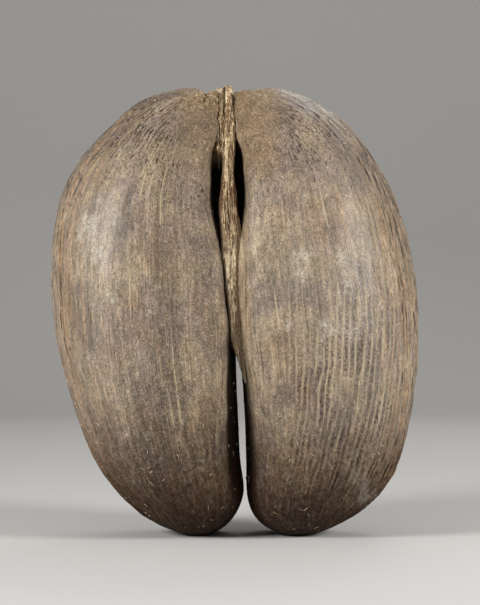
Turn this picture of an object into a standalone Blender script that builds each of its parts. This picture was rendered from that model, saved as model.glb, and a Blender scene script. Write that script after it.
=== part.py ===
"""Coco de mer: the bare two-lobed nut, standing on the tips of its lobes, with the strip of
dried husk that is left in the cleft of its front.

Metres, +Z up, floor at Z = 0. The open side of the cleft faces -Y, the nut's back faces +Y.
The origin is under the middle of the nut, on the floor.
"""
import math

import bmesh
import bpy
import numpy as np

MM = 0.001

# Side profile, the same for both lobes: two squarish half ellipses that meet where it is widest
TOP_HEIGHT = 300.5 * MM
BELLY_HEIGHT = 158 * MM
FOOT_CUT = 1.3 * MM
FOOT_FORWARD = 6 * MM
FRONT_DEPTH = 92 * MM
BACK_DEPTH = 74 * MM
SIDE_SQUARENESS = 2.2

# Each lobe seen from the front, (x, z) in millimetres: the outer flank and the wall of the
# cleft, both from the crown down to the foot
LEFT_CROWN = (-11, 298)
LEFT_FLANK = [
    (-20.5, 300.5), (-31, 302.3), (-47, 299.8), (-65, 291.8), (-90, 271), (-105, 253.8),
    (-116, 233), (-122.3, 209), (-124.4, 182.5), (-123.5, 152), (-116.3, 111), (-106, 77.5),
    (-94.3, 50), (-82, 32), (-64, 14), (-43.5, 3.2),
]
LEFT_FOOT = (-26, -1.3)
LEFT_WALL = [
    (-8.5, 290), (-6.5, 269), (-12.5, 256), (-14.3, 238), (-13.5, 218), (-8, 200), (-3, 182),
    (0, 150), (1, 104.5), (2.5, 70.5), (4.5, 43.5), (6, 30), (4, 21), (-2, 10.5), (-12, 2.3),
]
RIGHT_CROWN = (0.5, 298)
RIGHT_FLANK = [
    (13, 300.5), (24, 302.3), (39.5, 299.8), (60.3, 289.8), (79.5, 274), (95.4, 253.8),
    (106.4, 233), (114.5, 211.5), (120.6, 184.5), (124, 155.5), (124.5, 131.5), (123.4, 110),
    (119.8, 82.5), (112.4, 53.5), (100, 29.5), (77, 10.5), (61, 2.6),
]
RIGHT_FOOT = (46, -1.3)
RIGHT_WALL = [
    (-2, 290), (-3, 270), (3, 256), (5.3, 240), (5, 218), (1.5, 200), (-1.5, 180), (0.5, 145),
    (5.5, 104.5), (7.5, 70.5), (8, 43.5), (8.5, 27), (11.5, 16), (19, 7), (31, 0.8),
]

# How square a lobe's section is, every 45 degrees from the flank round by the front, the wall
# and the back: 2 is an ellipse, more is squarer. The corner at the cleft's mouth, the one
# between front and wall, is squarer by MOUTH_SQUARENESS in the upper part of a lobe and loses
# that between the two shares of the way from crown to foot.
LEFT_SQUARENESS = (2.05, 2.1, 2.35, 2.6, 3.4, 3.0, 2.3, 2.1)
RIGHT_SQUARENESS = (2.05, 2.1, 2.35, 2.8, 3.6, 3.0, 2.3, 2.1)
MOUTH_SQUARENESS = 3.2
MOUTH_ROUNDING = (0.5, 0.82)

# Where the fullest line of a lobe lies, from the flank towards the wall, the mesh of its
# rings, which stand closer near both ends, and the height of the shell's slow unevenness
FLANK_SHARE = 0.54
RINGS = 40
RING_POINTS = 48
END_CROWDING = 0.55
END_ZONE = 0.22
SWELL = 0.5 * MM
LEFT_PHASE = 0.4
RIGHT_PHASE = 2.1

# The bridge of shell that joins the lobes above the gap
BRIDGE_BOTTOM = 129 * MM
BRIDGE_TOP = 293 * MM
BRIDGE_MIDDLE = -2 * MM
BRIDGE_HALF_WIDTH = 29 * MM
BRIDGE_HOLLOW = 0.05
BRIDGE_LEVELS = 26
BRIDGE_COLUMNS = 8

# Height (mm), how far back the bridge reaches as a share of the back's depth there, and how
# deep (mm) the open cleft is in front of it: the groove behind runs out into the gap
BRIDGE_STATIONS = [
    (129, 0.10, 30), (133, 0.36, 22), (142, 0.57, 18), (160, 0.73, 17), (185, 0.82, 18),
    (205, 0.85, 27), (250, 0.87, 27), (272, 0.88, 18), (293, 0.90, 13),
]
MOUTH_SHARE = 0.9

# The strip of husk, from behind the crown over the top and down the cleft, in stations:
# turn round the side profile (degrees), left edge, right edge, proud of the mouth, depth (mm)
STRIP_STATIONS = [
    (-17, -10.5, -0.5, -1.0, 8),
    (-8, -12.3, 0.6, 1.8, 11),
    (3, -12.6, 1.0, 4.0, 15),
    (14, -12.5, 1.0, 1.6, 16),
    (28, -12.0, 0.9, 0.8, 18),
    (43, -11.6, 0.7, 0.6, 22),
    (46.5, -8.6, 0.3, 0.8, 28),
    (52, -8.3, 0.2, 0.5, 31),
    (58, -9.6, 0.8, 0.1, 31),
    (62, -10.4, 1.7, -0.4, 30),
    (66, -10.2, 2.8, -1.0, 27),
    (72, -9.8, 4.2, -1.6, 22),
    (79, -8.6, 3.4, -1.8, 19),
    (90, -5.2, 2.6, -2.6, 16),
    (95, -3.8, 1.8, -4.0, 13),
    (101, -2.3, 1.0, -6.5, 8),
]
STRIP_POINTS = 16
STRIP_STEPS = 46
STRIP_SQUARENESS = 3.2
STRIP_RIDGES = 3
STRIP_RIDGE_HEIGHT = 0.7 * MM
STRIP_ROUGHNESS = 0.5 * MM
CLEARANCE = 0.3 * MM

# The slit that parts the strip's top into two prongs
SLIT_X = -7.0 * MM
SLIT_WIDTH = 1.6 * MM
SLIT_DEPTH = 7 * MM
SLIT_REACH_OUT = 12 * MM
SLIT_ANGLES = (-24, 36)
SLIT_RUN_OUT = 12
SLIT_END_SHARE = 0.08
SLIT_STEPS = 12

SHELL_COLOUR = (0.30, 0.22, 0.155, 1.0)
HUSK_COLOUR = (0.42, 0.29, 0.16, 1.0)


def clear_scene():
    for thing in list(bpy.data.objects):
        bpy.data.objects.remove(thing, do_unlink=True)


def closed_spline(points, steps=24):
    """A smooth closed curve through the points, as an array, with `steps` to each span."""
    points = np.array(points, dtype=float)
    count = len(points)
    spans = np.linalg.norm(np.roll(points, -1, axis=0) - points, axis=1)
    system = np.zeros((count, count))
    right = np.zeros((count, 2))
    for i in range(count):
        before, after = spans[i - 1], spans[i]
        ahead = (points[(i + 1) % count] - points[i]) / after
        behind = (points[i] - points[i - 1]) / before
        system[i, i - 1] += before
        system[i, i] += 2 * (before + after)
        system[i, (i + 1) % count] += after
        right[i] = 6 * (ahead - behind)
    bend = np.linalg.solve(system, right)
    curve = []
    for i in range(count):
        j = (i + 1) % count
        for u in np.arange(steps) / steps:
            v = 1 - u
            lift = (v**3 - v) * bend[i] + (u**3 - u) * bend[j]
            curve.append(v * points[i] + u * points[j] + lift * spans[i] ** 2 / 6)
    return np.array(curve)


def along(path, shares):
    """Points at the given shares of an open path's length."""
    steps = np.linalg.norm(np.diff(path, axis=0), axis=1)
    reach = np.concatenate([[0], np.cumsum(steps)])
    places = np.array(shares) * reach[-1]
    return np.stack([np.interp(places, reach, path[:, k]) for k in range(path.shape[1])], axis=1)


def side_depth(height, depth, top=TOP_HEIGHT):
    """Depth of the side profile at a height, for a given greatest depth."""
    upper = (height - BELLY_HEIGHT) / (top - BELLY_HEIGHT)
    lower = (BELLY_HEIGHT - height) / (BELLY_HEIGHT + FOOT_CUT)
    share = np.clip(np.maximum(upper, lower), 0, 1)
    return depth * (1 - share**SIDE_SQUARENESS) ** (1 / SIDE_SQUARENESS)


def squared(across, deep, power):
    """Reach of a superellipse in the direction (across, deep)."""
    return (abs(across) ** power + abs(deep) ** power) ** (-1 / power)


def ease_in(share):
    """Smooth step from 0 to 1."""
    share = min(1, max(0, share))
    return share * share * (3 - 2 * share)


def power_at(angle, share, squareness):
    """The section's squareness in one direction, eased between its eight values."""
    place = angle / (math.pi / 4)
    first = int(place) % 8
    ease = (1 - math.cos(math.pi * (place - int(place)))) / 2
    power = squareness[first] * (1 - ease) + squareness[(first + 1) % 8] * ease
    at_mouth = max(0, -math.cos(angle) * math.sin(angle) * 2)
    if math.sin(angle) > 0:
        start, end = MOUTH_ROUNDING
        upper = 1 - ease_in((share - start) / (end - start))
        power += MOUTH_SQUARENESS * at_mouth * upper
    return power


def lobe_points(crown, flank, foot, wall, squareness, phase):
    """The rings of one lobe, from the crown's point to the foot's, as an array of rings."""
    loop = [crown, *flank, foot, *reversed(wall)]
    steps = 24
    curve = closed_spline(loop, steps) * MM
    at_foot = steps * (1 + len(flank))
    outer_path = curve[: at_foot + 1]
    inner_path = np.concatenate([curve[at_foot:], curve[:1]])[::-1]
    row = np.arange(1, RINGS) / RINGS
    shares = row - END_CROWDING * np.sin(2 * math.pi * row) / (2 * math.pi)
    outer = along(outer_path, shares)
    inner = along(inner_path, shares)
    centre = outer + (inner - outer) * FLANK_SHARE
    turn = 2 * math.pi * np.arange(RING_POINTS) / RING_POINTS
    rings = []
    for k, share in enumerate(shares):
        from_end = min(share, 1 - share) / END_ZONE
        level = ease_in(from_end)
        ring = []
        for angle in turn:
            across, deep = math.cos(angle), math.sin(angle)
            size = squared(across, deep, power_at(angle, share, squareness))
            size *= 1 + swell(share, angle, phase) / FRONT_DEPTH
            side = outer[k] - centre[k] if across > 0 else centre[k] - inner[k]
            x, z = centre[k] + side * across * size
            height = centre[k, 1] + (z - centre[k, 1]) * level
            depth = side_depth(height, FRONT_DEPTH if deep > 0 else BACK_DEPTH)
            ring.append((x, -depth * deep * size - lean(z), z))
        rings.append(ring)
    top = np.array([crown[0] * MM, 0, crown[1] * MM])
    tip = np.array([foot[0] * MM, -lean(foot[1] * MM), foot[1] * MM])
    return top, np.array(rings), tip


def lean(height):
    """How far the lower part of a lobe curves forward, to stand under the nut's weight."""
    return FOOT_FORWARD * max(0, 1 - height / BELLY_HEIGHT) ** 2


def swell(share, angle, phase):
    """Slow unevenness of the shell, fading to nothing at both ends of a lobe."""
    fade = math.sin(math.pi * share)
    broad = math.sin(3 * angle + 4.1 * share + phase)
    narrow = math.sin(5 * angle - 7.3 * share + 2 * phase)
    return SWELL * fade * (broad + 0.7 * narrow)


def tube_faces(bm, rows, closed_start, closed_end):
    """Bridge rows of vertices into a closed skin, with a fan or a cap at each end."""
    count = len(rows[0])
    for above, below in zip(rows, rows[1:]):
        for i in range(count):
            j = (i + 1) % count
            bm.faces.new((above[i], above[j], below[j], below[i]))
    for row, tip, forward in ((rows[0], closed_start, False), (rows[-1], closed_end, True)):
        if tip is None:
            bm.faces.new(row if forward else row[::-1])
            continue
        for i in range(count):
            j = (i + 1) % count
            bm.faces.new((row[i], row[j], tip) if forward else (row[j], row[i], tip))


def mesh_object(name, bm, material=None):
    bmesh.ops.recalc_face_normals(bm, faces=bm.faces)
    mesh = bpy.data.meshes.new(name)
    bm.to_mesh(mesh)
    bm.free()
    mesh.shade_smooth()
    mesh.set_sharp_from_angle(angle=math.radians(35))
    thing = bpy.data.objects.new(name, mesh)
    bpy.context.scene.collection.objects.link(thing)
    if material:
        mesh.materials.append(material)
    return thing


def hide_helper(thing):
    thing.hide_render = True
    thing.display_type = "WIRE"
    return thing


def rows_to_bmesh(rings, start=None, end=None):
    bm = bmesh.new()
    rows = [[bm.verts.new(p) for p in ring] for ring in rings]
    tips = [None if p is None else bm.verts.new(p) for p in (start, end)]
    tube_faces(bm, rows, tips[0], tips[1])
    return bm


def cut_foot(bm):
    """Take off what is below the floor and close the cut with one flat face."""
    everything = bm.verts[:] + bm.edges[:] + bm.faces[:]
    cut = bmesh.ops.bisect_plane(
        bm, geom=everything, plane_co=(0, 0, 0), plane_no=(0, 0, -1), clear_outer=True
    )
    rim = [e for e in cut["geom_cut"] if isinstance(e, bmesh.types.BMEdge)]
    bmesh.ops.contextual_create(bm, geom=rim)


def lobe(name, points, middle, material=None):
    crown, rings, foot = points
    bm = rows_to_bmesh(rings - middle, crown - middle, foot - middle)
    cut_foot(bm)
    return mesh_object(name, bm, material)


def bridge(middle):
    """Web of shell between the lobes: a shallow groove behind, a deep cleft in front."""
    heights, reaches, clefts = np.array(BRIDGE_STATIONS).T
    columns = np.linspace(-1, 1, BRIDGE_COLUMNS + 1)
    rings = []
    for k in range(BRIDGE_LEVELS + 1):
        rise = (1 - math.cos(math.pi * k / BRIDGE_LEVELS)) / 2
        height = BRIDGE_BOTTOM + (BRIDGE_TOP - BRIDGE_BOTTOM) * rise
        reach = np.interp(height, heights * MM, reaches)
        cleft = np.interp(height, heights * MM, clefts) * MM
        back = side_depth(height, BACK_DEPTH, BRIDGE_TOP + 1 * MM)
        front = cleft - MOUTH_SHARE * side_depth(height, FRONT_DEPTH)
        ring = []
        for u in columns:
            share = reach + BRIDGE_HOLLOW * (u * u - 1)
            ring.append((BRIDGE_MIDDLE + u * BRIDGE_HALF_WIDTH, share * back, height))
        for u in columns[::-1]:
            ring.append((BRIDGE_MIDDLE + u * BRIDGE_HALF_WIDTH, min(front, 0), height))
        rings.append(ring)
    return mesh_object("bridge", rows_to_bmesh(np.array(rings) - middle))


def mouth_point(degrees):
    """Point of the cleft's mouth in the YZ plane and the way out of it, by turn from the top."""
    turn = math.radians(degrees)
    if degrees <= 90:
        rise = TOP_HEIGHT - BELLY_HEIGHT
    else:
        rise = BELLY_HEIGHT + FOOT_CUT
    deep = MOUTH_SHARE * (FRONT_DEPTH if degrees > 0 else BACK_DEPTH)
    point = np.array([0, -deep * math.sin(turn), BELLY_HEIGHT + rise * math.cos(turn)])
    out = np.array([0, -math.sin(turn) / deep, math.cos(turn) / rise])
    return point, out / np.linalg.norm(out)


def strip_rings(clearance):
    table = np.array(STRIP_STATIONS, dtype=float)
    angles = np.linspace(table[0, 0], table[-1, 0], STRIP_STEPS + 1)
    rings = []
    for k, degrees in enumerate(angles):
        columns = (np.interp(degrees, table[:, 0], table[:, c]) * MM for c in range(1, 5))
        left, right, proud, deep = columns
        wobble = STRIP_ROUGHNESS * (math.sin(0.9 * k) + 0.6 * math.sin(2.3 * k + 1))
        point, out = mouth_point(degrees)
        half_width = (right - left) / 2
        middle = point + out * (proud - deep / 2)
        middle[0] = (left + right) / 2
        ring = []
        for i in range(STRIP_POINTS):
            turn = 2 * math.pi * i / STRIP_POINTS
            across, outward = math.cos(turn), math.sin(turn)
            size = squared(across, outward, STRIP_SQUARENESS)
            ridge = 0
            if outward > 0:
                ridge = STRIP_RIDGE_HEIGHT * math.cos(STRIP_RIDGES * math.pi * across) * outward
                ridge += wobble * math.sin(2.6 * across + 0.5 * k)
            x = across * size * (half_width + clearance)
            high = outward * size * (deep / 2 + clearance) + ridge
            ring.append(middle + np.array([x, 0, 0]) + out * high)
        rings.append(ring)
    return np.array(rings)


def slit(middle):
    """Tapered blade that parts the two prongs, as a cutter."""
    first, last = SLIT_ANGLES
    rings = []
    for degrees in np.linspace(first, last, SLIT_STEPS + 1):
        point, out = mouth_point(degrees)
        taper = min(1, (last - degrees) / SLIT_RUN_OUT + SLIT_END_SHARE)
        point[0] = SLIT_X
        top = point + out * SLIT_REACH_OUT
        bottom = point - out * SLIT_DEPTH * taper
        side = np.array([SLIT_WIDTH / 2 * taper, 0, 0])
        rings.append([top - side, top + side, bottom + side / 3, bottom - side / 3])
    return hide_helper(mesh_object("slit_cutter", rows_to_bmesh(np.array(rings) - middle)))


def add_boolean(thing, other, operation):
    step = thing.modifiers.new(f"{operation.lower()}_{other.name}", "BOOLEAN")
    step.operation = operation
    step.solver = "EXACT"
    step.object = other


def material(name, colour, roughness):
    made = bpy.data.materials.new(name)
    made.use_nodes = True
    shader = made.node_tree.nodes["Principled BSDF"]
    shader.inputs["Base Color"].default_value = colour
    shader.inputs["Roughness"].default_value = roughness
    shader.inputs["Metallic"].default_value = 0.0
    return made


def build():
    clear_scene()
    shell = material("nut_shell", SHELL_COLOUR, 0.55)
    husk = material("dried_husk", HUSK_COLOUR, 0.85)

    left = lobe_points(LEFT_CROWN, LEFT_FLANK, LEFT_FOOT, LEFT_WALL, LEFT_SQUARENESS, LEFT_PHASE)
    right = lobe_points(
        RIGHT_CROWN, RIGHT_FLANK, RIGHT_FOOT, RIGHT_WALL, RIGHT_SQUARENESS, RIGHT_PHASE
    )
    both = np.concatenate([left[1].reshape(-1, 3), right[1].reshape(-1, 3)])
    middle = (both.min(axis=0) + both.max(axis=0)) / 2
    middle[2] = 0

    nut = lobe("nut", left, middle, shell)
    right_lobe = hide_helper(lobe("right_lobe", right, middle))
    web = hide_helper(bridge(middle))
    groove = hide_helper(mesh_object("groove_cutter", rows_to_bmesh(strip_rings(CLEARANCE) - middle)))
    add_boolean(nut, right_lobe, "UNION")
    add_boolean(nut, web, "UNION")
    add_boolean(nut, groove, "DIFFERENCE")

    strip = mesh_object("husk_strip", rows_to_bmesh(strip_rings(0) - middle), husk)
    add_boolean(strip, slit(middle), "DIFFERENCE")


build()
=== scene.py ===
"""Looks of the coco de mer nut: the worn shell of its two lobes, the dry husk in its cleft,
the loose fibres on it, and a plain studio. Metres, +Z up, the cleft's open side faces -Y.
"""
import math

import bmesh
import bpy
import numpy as np
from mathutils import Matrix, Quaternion, Vector
from mathutils.bvhtree import BVHTree
from mathutils.kdtree import KDTree


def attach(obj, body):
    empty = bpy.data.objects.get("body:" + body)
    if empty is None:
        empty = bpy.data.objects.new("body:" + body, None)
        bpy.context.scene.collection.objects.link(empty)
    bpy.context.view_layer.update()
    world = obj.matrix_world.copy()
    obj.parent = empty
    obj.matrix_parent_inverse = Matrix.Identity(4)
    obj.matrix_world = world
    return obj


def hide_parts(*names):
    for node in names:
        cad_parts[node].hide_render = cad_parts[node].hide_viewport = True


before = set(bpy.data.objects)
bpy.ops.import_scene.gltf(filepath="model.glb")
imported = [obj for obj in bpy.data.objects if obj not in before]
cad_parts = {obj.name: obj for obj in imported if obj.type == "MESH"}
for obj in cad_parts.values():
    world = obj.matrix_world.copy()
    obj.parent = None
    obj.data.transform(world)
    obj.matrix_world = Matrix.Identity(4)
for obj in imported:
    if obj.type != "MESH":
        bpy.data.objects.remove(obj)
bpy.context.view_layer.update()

MM = 0.001
TAU = 2 * math.pi

# The photograph's frame and the camera: real size of one pixel at the nut's middle, its distance
IMAGE_WIDTH, IMAGE_HEIGHT = 480, 605
PIXEL = 0.678 * MM
CAMERA_DISTANCE = 1.5
NUT_MIDDLE_PIXEL = 234.5
FLOOR_PIXEL = 534.0
SENSOR = 36.0

# Shape of the nut, as in the part's own outline
TOP_HEIGHT = 300.5 * MM
BELLY_HEIGHT = 158 * MM
FOOT_CUT = 1.3 * MM
FOOT_FORWARD = 6 * MM
FRONT_DEPTH = 92 * MM
BACK_DEPTH = 74 * MM
SIDE_SQUARENESS = 2.2
LEFT = {
    "crown": (-11, 298), "foot": (-26, -1.3), "phase": 0.4,
    "flank": [
        (-20.5, 300.5), (-31, 302.3), (-47, 299.8), (-65, 291.8), (-90, 271), (-105, 253.8),
        (-116, 233), (-122.3, 209), (-124.4, 182.5), (-123.5, 152), (-116.3, 111), (-106, 77.5),
        (-94.3, 50), (-82, 32), (-64, 14), (-43.5, 3.2),
    ],
    "wall": [
        (-8.5, 290), (-6.5, 269), (-12.5, 256), (-14.3, 238), (-13.5, 218), (-8, 200), (-3, 182),
        (0, 150), (1, 104.5), (2.5, 70.5), (4.5, 43.5), (6, 30), (4, 21), (-2, 10.5), (-12, 2.3),
    ],
    "squareness": (2.05, 2.1, 2.35, 2.6, 3.4, 3.0, 2.3, 2.1),
}
RIGHT = {
    "crown": (0.5, 298), "foot": (46, -1.3), "phase": 2.1,
    "flank": [
        (13, 300.5), (24, 302.3), (39.5, 299.8), (60.3, 289.8), (79.5, 274), (95.4, 253.8),
        (106.4, 233), (114.5, 211.5), (120.6, 184.5), (124, 155.5), (124.5, 131.5), (123.4, 110),
        (119.8, 82.5), (112.4, 53.5), (100, 29.5), (77, 10.5), (61, 2.6),
    ],
    "wall": [
        (-2, 290), (-3, 270), (3, 256), (5.3, 240), (5, 218), (1.5, 200), (-1.5, 180), (0.5, 145),
        (5.5, 104.5), (7.5, 70.5), (8, 43.5), (8.5, 27), (11.5, 16), (19, 7), (31, 0.8),
    ],
    "squareness": (2.05, 2.1, 2.35, 2.8, 3.6, 3.0, 2.3, 2.1),
}
MOUTH_SQUARENESS = 3.2
MOUTH_ROUNDING = (0.5, 0.82)
FLANK_SHARE = 0.54
END_CROWDING = 0.55
END_ZONE = 0.22
SWELL = 0.5 * MM
RINGS = 128
RING_POINTS = 368
SPLINE_STEPS = 24

BRIDGE_BOTTOM = 129 * MM
BRIDGE_TOP = 293 * MM
BRIDGE_MIDDLE = -2 * MM
BRIDGE_HALF_WIDTH = 29 * MM
BRIDGE_HOLLOW = 0.05
BRIDGE_STATIONS = [
    (129, 0.10, 30), (133, 0.36, 22), (142, 0.57, 18), (160, 0.73, 17), (185, 0.82, 18),
    (205, 0.85, 27), (250, 0.87, 27), (272, 0.88, 18), (293, 0.90, 13),
]
BRIDGE_LEVELS = 110
BRIDGE_COLUMNS = 34
MOUTH_SHARE = 0.9

# The strip by turns from the top: left, right, rise over the mouth (mm), depth (mm)
STRIP_STATIONS = [
    (-17, -10.5, -0.5, -1.0, 8), (-8, -12.3, 0.6, 1.8, 11), (3, -12.6, 1.0, 4.0, 15),
    (14, -12.5, 1.0, 1.6, 16), (28, -12.0, 0.9, 0.8, 18), (42, -13.0, 0.7, 0.6, 22),
    (45.8, -14.8, 0.4, 0.6, 25), (46.8, -8.1, -0.1, 0.8, 28), (52, -7.9, -0.2, 0.5, 31),
    (58, -9.6, 0.8, 0.1, 31), (62, -10.4, 1.7, -0.4, 30), (66, -10.2, 2.8, -1.0, 27),
    (70, -9.9, 4.4, -1.3, 24), (74, -9.4, 7.6, -1.6, 21), (79, -8.6, 8.2, -1.8, 19),
    (90, -5.2, 8.2, -2.4, 17), (95, -4.0, 8.0, -3.6, 15), (98, -3.2, 7.8, -4.6, 14),
    (101, -1.8, 7.6, -5.2, 13), (104, 1.6, 7.6, -5.2, 12), (108, 5.0, 7.8, -5.2, 10),
    (110, 6.4, 7.9, -5.2, 8),
]
STRIP_SQUARENESS = 5.0
STRIP_POINTS = 112
STRIP_STEPS = 300
HUSK_STRANDS = 7

# Slits in the strip: x at both ends, width, depth (mm), and the turns between which they run
HUSK_SLITS = [
    (-6.8, -7.3, 1.5, 5, 3, 32),
    (-11.4, -11.0, 1.1, 5, 12, 27),
    (-10.2, -9.6, 1.1, 5, 34, 46),
]
GROOVE_STEPS = 150
GROOVE_POINTS = 48
GROOVE_ROOM = 0.5 * MM
JOINED_RISE = 0.35 * MM
JOINED_REACH = 4 * MM
RIM_SUNK = 2.0
CLUNG_SHARE = 0.2
GROWN_IN = (68, 74)
GROWN_DEPTH = 5.0 * MM

# Rims of the gap between the lobes, inside which no light falls
GAP_HEIGHTS = np.array([20, 33, 50, 75, 110, 130]) * MM
GAP_LEFT = np.array([5, 0.2, -3.2, -4.8, -5.0, -4.0]) * MM
GAP_RIGHT = np.array([10, 9, 8.2, 7.2, 6.0, 0]) * MM

# Pale spots on the front: x, height, half width, half height (mm), strength. Those at -89 and 72
# mm are painted highlights on the lobes' lit faces, those low on the right worn patches
WEAR_AND_HIGHLIGHT_SPOTS = [
    (72, 179, 7, 15, 1.2), (86, 30, 7, 11, 1.9), (-89, 198, 17, 36, 1), (78, 42, 5, 8, 1.5),
    (-60, 120, 6, 9, 1), (64, 150, 12, 24, 1), (40, 178, 9, 22, 1),
]

# Hairs and fibres: how many, how thick (mm), and the long ones by x, height and length (mm)
FUZZ_HAIRS = 320
WOOL_HAIRS = 150
LOOSE_HAIRS = 900
HUSK_FIBRES = 150
FUZZ_RADII = (0.07, 0.14)
HAIR_RADII = (0.11, 0.24)
FIBRE_RADII = (0.14, 0.34)
LONG_HAIRS = [
    (-87, 94, 15), (-14.5, 176, 4), (-56.5, 43, 7), (-54.5, 41, 5), (40, 69, 6), (93, 87, 8),
]

# Where rays towards the nut start: in front of everything
VIEW_START = -0.4

# Lights: name, place, aim, size, power
LIGHTS = [
    ("left_light", (-1.15, -0.95, 0.75), (0, 0, 0.2), 0.6, 23),
    ("right_light", (1.3, -0.66, 0.7), (0, 0, 0.2), 0.6, 19.5),
    ("back_light", (0.4, 1.3, 1.3), (0, 0, 0.15), 0.9, 6),
]
ROOM_LIGHT = 0.2

# Seams of the lobes: from what angle (degrees) and how many edges far they are softened
SEAM_ANGLE = 24
SEAM_REACH = 5
SEAM_SOFTNESS = 0.5
SEAM_ROUNDS = 10

# The dent in the crown (mm)
DENT_PLACE = -19.3
DENT_WIDTH = 2.4
DENT_DEPTH = 2.2

# Short waves of the shell: length, height (mm), seed
SHELL_WAVES = [(20, 0.20, 2), (7, 0.10, 3)]

# Ridges of the right lobe in one turn round it, and the part of a turn they lean by
RIDGE_COUNT = 88
RIDGE_TWIST = 0.6

# Colours as read on a screen, 0 to 255
COLOURS = {
    "tan": (162, 145, 123), "grey": (139, 123, 112), "brown": (149, 124, 99),
    "lilac": (132, 116, 108), "ochre": (164, 148, 120), "flank": (156, 120, 84),
    "wool": (152, 126, 96), "pale grit": (206, 192, 164), "dark grit": (80, 62, 48),
    "pale vein": (204, 186, 152), "dark vein": (74, 56, 44), "mark": (48, 31, 20),
    "amber": (204, 160, 104), "ridge": (186, 171, 143), "furrow": (66, 48, 34),
    "straw": (176, 148, 108), "pale wear and glint": (204, 196, 184), "soft sheen and wear": (206, 198, 186),
    "cleft": (22, 15, 10), "foot": (60, 32, 8), "worn foot": (150, 140, 126),
    "dark husk": (98, 73, 50), "bright husk": (255, 234, 192), "low husk": (150, 130, 104),
    "grown husk": (150, 132, 108), "weathered husk": (158, 138, 114),
    "pale strand": (246, 226, 186), "dark strand": (92, 66, 44), "husk furrow": (44, 28, 16),
    "light fibre": (220, 196, 154), "dark fibre": (140, 108, 74), "light hair": (228, 218, 196),
    "dark hair": (186, 164, 130),
}

# Radius that the grain of a lobe is wound on, its length from crown to foot, and what sets
# the second lobe's grain apart
GRAIN_RADIUS = 70 * MM
GRAIN_LENGTH = 350 * MM
GRAIN_SHIFT = 0.4

# Backdrop: reach of the floor to the front and the back, radius of the curve, top, half width
FLOOR_FRONT, FLOOR_BACK = -3.0, 1.6
BACKDROP_CURVE = 0.9
BACKDROP_TOP = 4.0
BACKDROP_HALF_WIDTH = 5
CURVE_STEPS = 12
PAPER = (0.62, 0.61, 0.59, 1)
ROOM_COLOUR = (1, 0.98, 0.95, 1)


def ramp(low, high, value):
    """Goes smoothly from 0 at low to 1 at high."""
    share = np.clip((value - low) / (high - low), 0, 1)
    return share * share * (3 - 2 * share)


def ramp_mm(low, high, value):
    return ramp(low * MM, high * MM, value)


def waves(points, length, seed, count=28):
    """Smooth noise with a spread of 1: waves of about one length (mm) in random directions."""
    rng = np.random.default_rng(seed)
    heading = rng.normal(size=(count, points.shape[1]))
    heading /= np.linalg.norm(heading, axis=1, keepdims=True)
    heading *= TAU / (length * MM) * rng.uniform(0.7, 1.35, (count, 1))
    phase = rng.uniform(0, TAU, count)
    return np.cos(points @ heading.T + phase).sum(axis=1) * math.sqrt(2 / count)


def closed_spline(points):
    """A smooth closed curve through the points, with SPLINE_STEPS to each span."""
    points = np.array(points, dtype=float)
    count = len(points)
    spans = np.linalg.norm(np.roll(points, -1, axis=0) - points, axis=1)
    system = np.zeros((count, count))
    right = np.zeros((count, 2))
    for i in range(count):
        before, after = spans[i - 1], spans[i]
        system[i, i - 1] += before
        system[i, i] += 2 * (before + after)
        system[i, (i + 1) % count] += after
        ahead = (points[(i + 1) % count] - points[i]) / after
        right[i] = 6 * (ahead - (points[i] - points[i - 1]) / before)
    bend = np.linalg.solve(system, right)
    curve = []
    for i in range(count):
        j = (i + 1) % count
        for u in np.arange(SPLINE_STEPS) / SPLINE_STEPS:
            v = 1 - u
            lift = (v**3 - v) * bend[i] + (u**3 - u) * bend[j]
            curve.append(v * points[i] + u * points[j] + lift * spans[i] ** 2 / 6)
    return np.array(curve)


def along(path, shares):
    """Points of a path at these shares of its length."""
    steps = np.linalg.norm(np.diff(path, axis=0), axis=1)
    reach = np.concatenate([[0], np.cumsum(steps)])
    places = np.array(shares) * reach[-1]
    return np.stack([np.interp(places, reach, path[:, k]) for k in range(path.shape[1])], axis=1)


def bell(value, middle, width):
    return np.exp(-(((value - middle) / width) ** 2))


def side_depth(height, depth, top=TOP_HEIGHT):
    """How deep the nut is at a height, from its side outline."""
    upper = (height - BELLY_HEIGHT) / (top - BELLY_HEIGHT)
    lower = (BELLY_HEIGHT - height) / (BELLY_HEIGHT + FOOT_CUT)
    share = np.clip(np.maximum(upper, lower), 0, 1)
    return depth * (1 - share**SIDE_SQUARENESS) ** (1 / SIDE_SQUARENESS)


def squared(across, deep, power):
    """What turns a circle into a rounded square, the squarer the higher the power."""
    return (np.abs(across) ** power + np.abs(deep) ** power) ** (-1 / power)


def lean(height):
    """How far the feet stand forward."""
    return FOOT_FORWARD * np.maximum(0, 1 - height / BELLY_HEIGHT) ** 2


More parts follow.
